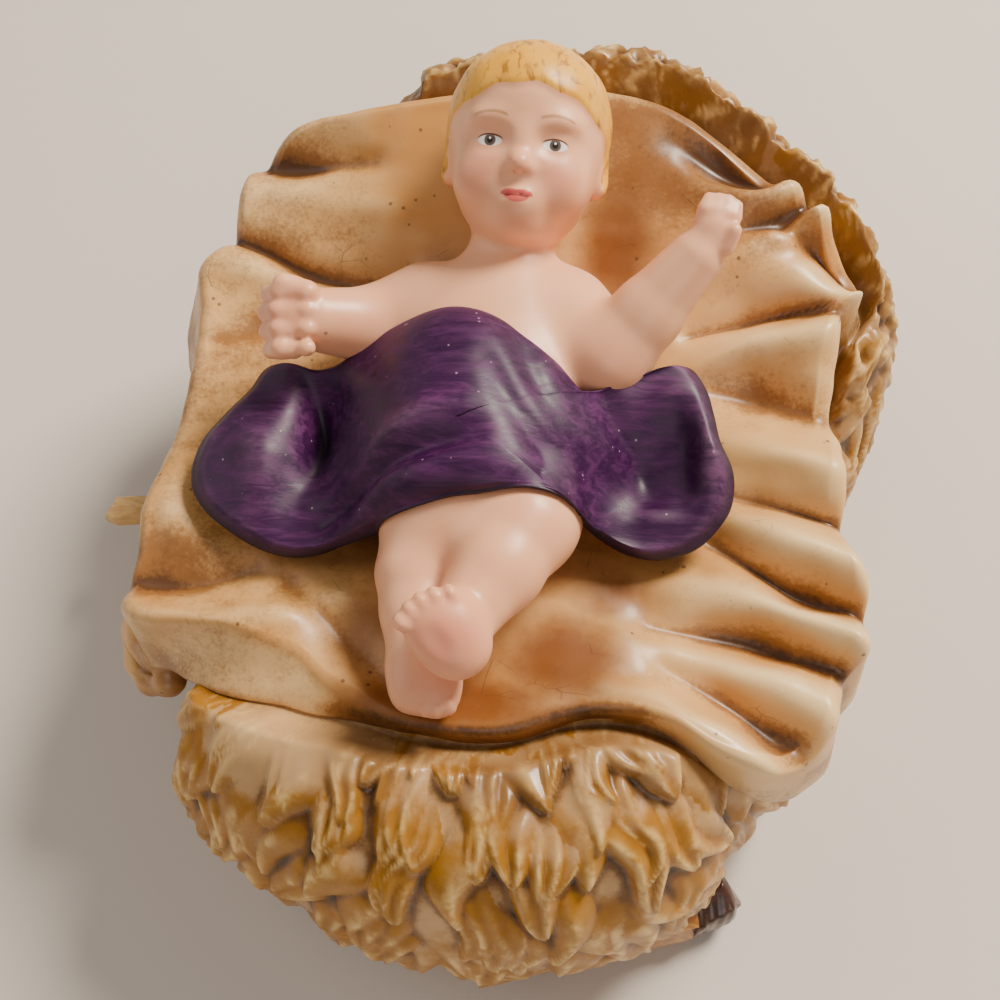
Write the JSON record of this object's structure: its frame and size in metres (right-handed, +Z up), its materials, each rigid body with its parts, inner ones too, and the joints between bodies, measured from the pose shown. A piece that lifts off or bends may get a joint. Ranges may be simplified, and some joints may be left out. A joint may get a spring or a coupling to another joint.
{
  "type": "baby jesus nativity figurine",
  "caption": "Small painted bisque figurine: a calm infant under a violet cloth resting in a straw cradle lined with a folded cream blanket.",
  "frame": {"origin": "under the middle of the whole piece (its bounding box), at the surface it stands on", "axes": "+Z up, +Y from the child's feet to its head, +X to the right as the child is looked at from its feet"},
  "size_m": [0.087, 0.0968, 0.0526],
  "materials": {
    "child_bisque": "satin bisque with painted hair, brows, eyes and lips",
    "violet_cloth_paint": "satin violet paint brushed over bisque",
    "cradle_bisque": "satin cream bisque with brown wash and orange airbrush",
    "straw_glaze": "semi-gloss ochre and brown wash over white",
    "log_paint": "semi-gloss dark brown and tan paint"
  },
  "bodies": {
    "root": {"baby": "child_bisque", "manger": "cradle_bisque"}
  },
  "joints": []
}
